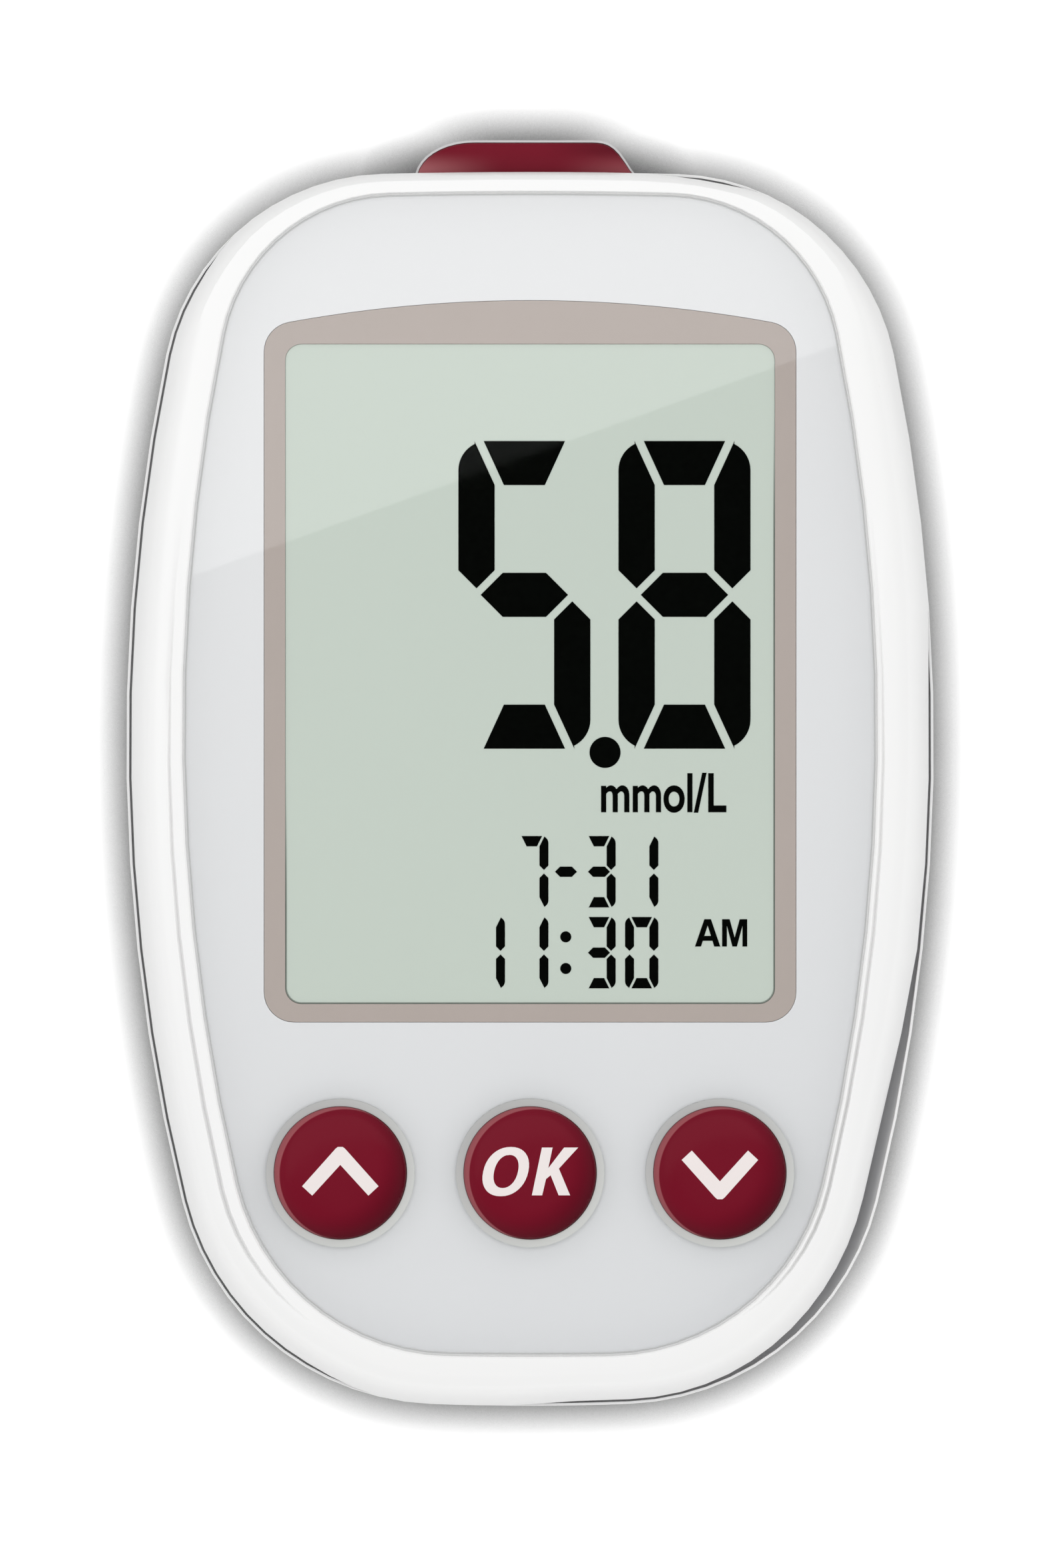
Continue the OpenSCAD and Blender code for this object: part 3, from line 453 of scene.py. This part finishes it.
# Straight-sided capitals, each in a unit square whose corner is at the lower left
A_OUTER = [(0, 0), (0.37, 1), (0.63, 1), (1, 0), (0.76, 0), (0.69, 0.21), (0.31, 0.21), (0.24, 0)]
A_HOLE = [(0.37, 0.39), (0.63, 0.39), (0.5, 0.77)]
M_OUTER = [(0, 0), (0, 1), (0.3, 1), (0.5, 0.33), (0.7, 1), (1, 1), (1, 0), (0.81, 0), (0.81, 0.76),
           (0.59, 0), (0.41, 0), (0.19, 0.76), (0.19, 0)]
K_OUTER = [(0, 0), (0, 1), (0.28, 1), (0.28, 0.57), (0.58, 1), (0.95, 1), (0.56, 0.56), (1, 0),
           (0.7, 0), (0.38, 0.42), (0.28, 0.34), (0.27, 0)]


def scaled(outline, left, low, wide, high, slant=0.0):
    """A unit outline at its real place and size in millimetres, leaning to the right."""
    return [(left + wide * x + slant * (low + high * y), low + high * y) for x, y in outline]


def lettering(name, words, wide, high, weight, thickness):
    """A word as a mesh, this wide and high in millimetres about the origin."""
    bpy.ops.object.text_add()
    piece = bpy.context.object
    piece.name = name
    piece.data.body = words
    piece.data.offset = weight
    piece.data.extrude = thickness / MM / 2
    piece.data.resolution_u = 8
    bpy.ops.object.convert(target="MESH")
    low = Vector([min(corner[axis] for corner in piece.bound_box) for axis in range(3)])
    high_corner = Vector([max(corner[axis] for corner in piece.bound_box) for axis in range(3)])
    size = high_corner - low
    piece.data.transform(Matrix.Translation(-(low + high_corner) / 2))
    piece.scale = (wide / size.x, high / size.y, 1)
    bpy.ops.object.transform_apply(location=False, rotation=False, scale=True)
    return piece


def crystal_black():
    """The near black of a segment that is switched on."""
    finish = Finish("crystal_black")
    speckle = finish.noise(0.4 * MM)
    return finish.surface({
        "Base Color": finish.blend(speckle, tone(9, 11, 9), tone(4, 5, 4)),
        "Roughness": 0.6 + 0.1 * speckle,
        "Specular IOR Level": 0.0,
    })


ink = crystal_black()
large = {"wide": 8.84, "high": 20.6, "stroke": 2.43, "bar": 2.95, "gap": 0.62}
small = {"wide": 2.23, "high": 4.78, "stroke": 0.6, "bar": 0.69, "gap": 0.17}
reading_mid = 5.3
date_mid = -13.24
time_mid = -18.66
readout = {
    "reading": [*figure("5", -4.8, reading_mid, **large), *figure("8", 5.92, reading_mid, **large),
                disc(5.02, -5.25, 1.04)],
    "date": [*figure("7", -1.0, date_mid, **small), *figure("-", 1.29, date_mid, **small),
             *figure("3", 3.5, date_mid, **small), *figure("1", 6.36, date_mid, **small)],
    "time": [*figure("1", -3.91, time_mid, **small), *figure("1", -1.0, time_mid, **small),
             disc(2.39, time_mid + 1.06, 0.37), disc(2.39, time_mid - 1.06, 0.37),
             *figure("3", 3.5, time_mid, **small), *figure("0", 6.36, time_mid, **small)],
}
on_sheet = Vector((glass_mid.x, glass_mid.y, sheet_top))
figures = [printed("figures_" + name, outlines, ink_t) for name, outlines in readout.items()]
unit = lettering("figures_unit", "mmol/L", 8.39, 2.68, 0.018, ink_t)
unit = settled(unit, (8.95 * MM, -7.95 * MM, ink_t / 2))
morning = printed("figures_am", [
    scaled(A_OUTER, 11.04, -18.25, 1.7, 1.83), scaled(A_HOLE, 11.04, -18.25, 1.7, 1.83),
    scaled(M_OUTER, 12.86, -18.25, 1.68, 1.83),
], ink_t)
for piece in [*figures, unit, morning]:
    placed(piece, on_sheet)
    dress(piece, ink)
    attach(piece, "housing")


# ---------------------------------------------------------------------------------------------
# Front case. The white upper half of the housing in the same ABS, with the rim round the face,
# a shallow crease down both of its sides and posts for the screws on the inside.
# ---------------------------------------------------------------------------------------------
front_shell = shell_copy("front_case", "front_shell")
dress(front_shell, moulded("front_white", tone(245, 245, 244), tone(242, 242, 242), 0.3))
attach(front_shell, "housing")
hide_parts("front_case")


# ---------------------------------------------------------------------------------------------
# Face. A pearl-grey printed film, a taupe frame round the display and a clear hard-coated lens
# over both, bonded with clear adhesive, so that only its upper face mirrors the room.
# ---------------------------------------------------------------------------------------------
def pearl():
    """Pearl grey with fine flakes, a little lighter towards the top."""
    finish = Finish("pearl_film")
    x, y, _ = finish.place()
    cloud = finish.noise(9 * MM, 1.0)
    flake = finish.noise(0.06 * MM, 1.0)
    drop = 0.3 - 9 * y + 4 * x + 0.15 * (cloud - 0.5) + 0.2 * (flake - 0.5)
    return finish.surface({
        "Base Color": finish.blend(drop, tone(232, 233, 234), tone(221, 223, 225)),
        "Roughness": 0.45 + 0.1 * flake,
        **under_lens,
    })


def taupe_print():
    """Taupe ink with slow drifts between two close tones."""
    finish = Finish("taupe_print")
    cloud = finish.noise(6 * MM, 2.0)
    return finish.surface({
        "Base Color": finish.blend(cloud, tone(182, 171, 165), tone(178, 168, 161)),
        "Roughness": 0.5 + 0.08 * (cloud - 0.5),
        **under_lens,
    })


def clear_acrylic(mirror_from):
    """Clear all through. Its face above this height has a coat that hardly mirrors straight on."""
    finish = Finish("clear_acrylic")
    _, _, z = finish.place()
    slant = finish.node("ShaderNodeLayerWeight", None, {"Blend": 0.5}, "Facing")
    gloss = (0.96 * slant ** 5 + 0.005) * (z > mirror_from)
    film = finish.noise(6 * MM, 1.0)
    clear = finish.node("ShaderNodeBsdfTransparent", None, {"Color": (1.0, 1.0, 1.0, 1.0)})
    mirror = finish.node("ShaderNodeBsdfGlossy", None,
                         {"Color": (1.0, 1.0, 1.0, 1.0), "Roughness": 0.01 + 0.02 * film})
    both = finish.node("ShaderNodeMixShader", None, {0: gloss, 1: clear, 2: mirror})
    finish.node("ShaderNodeOutputMaterial", None, {"Surface": both})
    return finish.material


dress(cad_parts["graphic_film"], pearl())
dress(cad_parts["display_bezel"], taupe_print())


def line_the_edge(piece, top, width, material, holes, hole_reach):
    """A band along the outer edge of a plate's upper face gets its own material."""
    piece.data.materials.append(material)
    select_only(piece)
    bpy.ops.object.mode_set(mode="EDIT")
    bpy.ops.mesh.select_mode(type="FACE")
    bpy.ops.mesh.select_all(action="DESELECT")
    bpy.ops.object.mode_set(mode="OBJECT")
    for face in piece.data.polygons:
        face.select = face.normal.z > 0.99 and face.center.z > top - 0.01 * MM
        face.material_index = 1 if face.select else 0
    bpy.ops.object.mode_set(mode="EDIT")
    bpy.ops.mesh.inset(thickness=width, depth=0, use_boundary=True, use_even_offset=True)
    bpy.ops.object.mode_set(mode="OBJECT")
    for face in piece.data.polygons:
        by_hole = min((face.center.xy - hole.xy).length for hole in holes) < hole_reach
        if face.select or by_hole:
            face.material_index = 0


lens_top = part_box("face_lens")[1].z
edge_wide = 0.085 * MM
hole_reach = 5.6 * MM
lens = shell_copy("face_lens", "lens")
dress(lens, clear_acrylic(lens_top - 0.005 * MM))
key_mids = [sum(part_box(key + "_button"), Vector()) / 2 for key in ("up", "ok", "down")]
# A thin opaque grey band round the lens's upper face is painted shade, for the shadow in the gap
# between the lens and the rim
gap_shade = moulded("lens_gap_shade", tone(186, 187, 187), tone(180, 181, 181), 0.5)
line_the_edge(lens, lens_top, edge_wide, gap_shade, key_mids, hole_reach)
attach(lens, "housing")
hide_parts("face_lens")


# ---------------------------------------------------------------------------------------------
# Keys. Burgundy caps with a rounded shoulder, each with a printed sign. They stand in the grey
# collars of a silicone sheet and are held down by their flanges.
# ---------------------------------------------------------------------------------------------
def burgundy(finish, dark, light):
    """Burgundy plastic, with painted shade and painted highlights where these shares run up to 1."""
    cloud = finish.noise(5 * MM, 2.0)
    grain = finish.noise(0.2 * MM, 3.0)
    red = finish.blend(cloud, tone(118, 20, 39), tone(112, 17, 35))
    # Painted shade where the dark share runs up to 1, then a painted highlight where the light share
    # does
    red = finish.blend(dark, red, tone(60, 9, 20))
    return finish.surface({
        "Base Color": finish.blend(light, red, tone(190, 120, 124)),
        "Roughness": 0.24 + 0.1 * (grain - 0.5),
        "Specular IOR Level": 0.06,
        "Normal": finish.relief(grain, 0.0015 * MM),
    })


def cap_burgundy(name, middle):
    """A key's burgundy, with a painted highlight on its left shoulder and painted shade towards its
    lower right.
    """
    finish = Finish(name)
    x, y, _ = finish.place()

    def reach(aside, ahead):
        across = x - (middle.x + aside)
        along = y - (middle.y + ahead)
        return (across * across + along * along) ** 0.5

    # Painted shade towards the lower right, and a painted highlight as a thin crescent on the
    # upper-left shoulder
    dark = 0.8 * finish.rise(reach(-0.9 * MM, 0.9 * MM), 3.4 * MM, 6.2 * MM)
    light = 0.42 * finish.rise(reach(0.31 * MM, -0.11 * MM), 4.34 * MM, 4.42 * MM)
    return burgundy(finish, dark, light)


def silicone(middles, reach):
    """Grey silicone, with painted light and shade: its collars are lighter at the lower right of each
    key.
    """
    finish = Finish("grey_silicone")
    x, y, _ = finish.place()
    pitch = middles[1].x - middles[0].x
    across = finish.node("ShaderNodeMath", {"operation": "WRAP"},
                         {0: x - middles[1].x, 1: pitch / 2, 2: -pitch / 2})
    # Painted light and shade: lighter towards the lower right of each key, darker towards the upper
    # left
    share = 0.5 + (across - (y - middles[1].y)) / (2.8 * reach)
    grain = finish.noise(0.3 * MM, 4.0)
    return finish.surface({
        "Base Color": finish.blend(share, tone(181, 182, 181), tone(207, 209, 206)),
        "Roughness": 0.6 + 0.08 * (grain - 0.5),
        "Normal": finish.relief(grain, 0.004 * MM),
    })


def chevron(up):
    """An arrow head with square ends and a blunt tip, from its left end round the tip."""
    return [[(x, up * y) for x, y in
             [(-2.56, -0.88), (-0.32, 1.63), (-0.17, 1.75), (0.17, 1.75), (0.32, 1.63),
              (2.56, -0.88), (1.88, -1.51), (0, 0.55), (-1.88, -1.51)]]]


def oval(x, y, half_wide, half_high, slant, steps=40):
    """A leaning, slightly squared oval."""
    turns = [math.tau * step / steps for step in range(steps)]
    rim = [(math.copysign(abs(math.cos(turn)) ** 0.92, math.cos(turn)),
            math.copysign(abs(math.sin(turn)) ** 0.92, math.sin(turn))) for turn in turns]
    return [(x + half_wide * u + slant * half_high * v, y + half_high * v) for u, v in rim]


def on_cap(sign, cap, centre, body):
    """Lays a flat sign on a cap, whose crown it follows, as a print with a little body."""
    select_only(sign)
    bpy.ops.object.mode_set(mode="EDIT")
    bpy.ops.mesh.select_all(action="SELECT")
    bpy.ops.mesh.quads_convert_to_tris()
    bpy.ops.mesh.subdivide(number_cuts=5)
    bpy.ops.object.mode_set(mode="OBJECT")
    placed(sign, centre + Vector((0, 0, 1 * MM)))
    wrap = sign.modifiers.new("laid_on", "SHRINKWRAP")
    wrap.target = cap
    wrap.wrap_method = "PROJECT"
    wrap.use_project_z = True
    wrap.use_negative_direction = True
    wrap.use_positive_direction = False
    wrap.offset = 0.012 * MM
    bpy.ops.object.modifier_apply(modifier=wrap.name)
    layer = sign.modifiers.new("print", "SOLIDIFY")
    layer.thickness = 0.02 * MM
    bpy.ops.object.modifier_apply(modifier=layer.name)
    dress(sign, sign_print)
    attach(sign, body)


sign_print = moulded("sign_print", tone(238, 229, 227), tone(234, 225, 223), 0.5)
signs = {
    "up": printed("sign_up", chevron(1), 0),
    "ok": printed("sign_ok", [
        oval(-1.63, 0.1, 1.51, 1.65, 0.21), oval(-1.61, 0.11, 0.8, 1.11, 0.21),
        scaled(K_OUTER, 0.43, -1.49, 2.56, 3.2, 0.21),
    ], 0),
    "down": printed("sign_down", chevron(-1), 0),
}
for key, sign in signs.items():
    cap_low, cap_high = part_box(key + "_button")
    middle = (cap_low + cap_high) / 2
    cap = shell_copy(key + "_button", key + "_cap", 50)
    dress(cap, cap_burgundy(key + "_burgundy", middle))
    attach(cap, key + "_key")
    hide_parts(key + "_button")
    on_cap(sign, cap, Vector((middle.x, middle.y, cap_high.z)), key + "_key")

grey_rubber = silicone(key_mids, 4.7 * MM)
dress(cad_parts["key_gasket"], grey_rubber)

# Thin wiping lips on the collars close the gaps to the caps and to the holes in the film
lip_t = 0.3 * MM
collar_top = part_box("key_gasket")[1].z
lip_radii = [4.466, 4.52, 4.93, 4.975]
lip_drop = 0.01 * MM
lips = printed("wiping_lips", [disc(key.x / MM, key.y / MM, radius, 96)
                               for key in key_mids for radius in lip_radii], lip_t)
placed(lips, (0, 0, collar_top - lip_t - lip_drop))
dress(lips, grey_rubber)
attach(lips, "housing")


# ---------------------------------------------------------------------------------------------
# Strip port. A burgundy mouth with a flared slot, trapped between the two shells. The grey
# thumb slider on the back and its pusher push a used strip out through it.
# ---------------------------------------------------------------------------------------------
def port_burgundy(foot_y):
    """The port's burgundy, with a painted reflection of the white case in the corners of its foot and
    painted shade at the upper right.
    """
    finish = Finish("port_burgundy")
    x, y, _ = finish.place()
    foot = finish.rise(y, foot_y + 1.5 * MM, foot_y)
    side = finish.rise(abs(x), 1.5 * MM, 8 * MM)
    # Painted reflection of the white case, lighter in the corners of the foot
    light = foot * side * (0.5 - 22 * x)
    # Painted shade towards the upper right
    dark = 0.45 * finish.rise(x, 0.0, 6 * MM) * finish.rise(y, foot_y + 0.5 * MM, foot_y + 1.6 * MM)
    return burgundy(finish, dark, light)


port = shell_copy("strip_port", "port", 40)
dress(port, port_burgundy(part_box("front_case")[1].y))
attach(port, "housing")
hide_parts("strip_port")

dress(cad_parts["eject_slider"],
      moulded("slider_grey", tone(150, 152, 155), tone(142, 144, 147), 0.5, 0.25 * MM, 0.006 * MM))
dress(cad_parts["eject_pusher"],
      moulded("natural_acetal", tone(232, 230, 223), tone(226, 224, 217), 0.4))


# ---------------------------------------------------------------------------------------------
# Studio. A white table, soft light from straight above, a pale room, and one straight-edged
# card whose reflection crosses the lens. The camera looks straight down on the face.
# ---------------------------------------------------------------------------------------------
def table_top():
    """White for the camera, with a tight shadow close to the meter, and a little darker for the
    light that it sends back."""
    finish = Finish("table_white")
    seen = finish.node("ShaderNodeLightPath", output="Is Camera Ray")
    near = finish.node("ShaderNodeAmbientOcclusion", {"samples": 8}, {"Distance": 4.6 * MM}, "AO")
    dim = finish.node("ShaderNodeClamp", None, {"Value": 1 - 1.97 * (1 - near)})
    white = finish.blend(dim, (0.2, 0.2, 0.2, 1.0), (1.45, 1.45, 1.45, 1.0))
    shade = finish.blend(seen, (0.8, 0.8, 0.8, 1.0), white)
    diffuse = finish.node("ShaderNodeBsdfDiffuse", None, {"Color": shade})
    finish.node("ShaderNodeOutputMaterial", None, {"Surface": diffuse})
    return finish.material


bpy.ops.mesh.primitive_plane_add(size=3.0)
table = bpy.context.object
table.name = "table"
dress(table, table_top())

bpy.ops.object.light_add(type="AREA", location=(0, 0, 0.75))
overhead = bpy.context.object
overhead.name = "overhead"
overhead.data.shape = "DISK"
overhead.data.size = 0.4
overhead.data.energy = 1.85
overhead.visible_camera = False
overhead.visible_glossy = False


class Room(Finish):
    """The room's light, mixed in the same way as a material."""

    def __init__(self, name):
        self.world = bpy.data.worlds.new(name)
        self.world.use_nodes = True
        self.tree = self.world.node_tree
        self.tree.nodes.clear()


room = Room("room")
direction = room.node("ShaderNodeTexCoord", output="Generated")
height = room.node("ShaderNodeSeparateXYZ", None, {0: direction}, 2)
mirrored = room.node("ShaderNodeLightPath", output="Is Glossy Ray")
seen = room.node("ShaderNodeLightPath", output="Is Camera Ray")
# Gloss sees a pale room with a dark middle overhead, where the camera is
ceiling = room.node("ShaderNodeMapRange", {"interpolation_type": "SMOOTHSTEP"},
                    {"Value": height, "From Min": 0.55, "From Max": 0.92,
                     "To Min": 0.85, "To Max": 0.03})
walls = room.node("ShaderNodeMapRange", None, {"Value": height, "To Min": 1.6, "To Max": 0.5})
strength = room.node("ShaderNodeMix", None, {"Factor": mirrored, 2: walls, 3: ceiling})
strength = room.node("ShaderNodeMix", None, {"Factor": seen, 2: strength, 3: 1.0})
glow = room.node("ShaderNodeBackground", None, {"Strength": strength})
room.node("ShaderNodeOutputWorld", None, {"Surface": glow})
bpy.context.scene.world = room.world

# The card's near edge, as its reflection crosses the face: a point left and one right
card_z = 0.3
edge_left = Vector((-22.5, 13.2)) * MM
edge_right = Vector((20.5, 28.6)) * MM
bpy.ops.mesh.primitive_plane_add(size=1.0, location=(0, 0, 0))
card = bpy.context.object
card.name = "glare_card"
along = (edge_right - edge_left).normalized()
aside = Vector((-along.y, along.x))
card_wide = 0.5
card_deep = 0.3
# A long lens, as the sides hardly show. Much longer, and views from other angles would clip
lens_length = 1000.0
sensor = 36.0
frame_height = 105.1 * MM
framed_z = 12 * MM
camera_z = framed_z + frame_height * lens_length / sensor
spread = 1 + card_z / camera_z
middle = (edge_left + edge_right) / 2 * spread + aside * card_deep / 2
card.scale = (card_wide, card_deep, 1)
card.rotation_euler = (0, 0, math.atan2(along.y, along.x))
card.location = (middle.x, middle.y, card_z)
card_glow = Finish("card_glow")
card_light = card_glow.node("ShaderNodeEmission", None, {"Strength": 1.7})
card_glow.node("ShaderNodeOutputMaterial", None, {"Surface": card_light})
dress(card, card_glow.material)
card.visible_camera = False
card.visible_diffuse = False
card.visible_shadow = False
card.visible_transmission = False

bpy.ops.object.camera_add(location=(-0.54 * MM, -0.74 * MM, camera_z), rotation=(0, 0, 0))
camera = bpy.context.object
camera.data.lens = lens_length
camera.data.sensor_width = sensor
camera.data.clip_end = 10.0
bpy.context.scene.camera = camera
bpy.context.scene.view_settings.view_transform = "Standard"
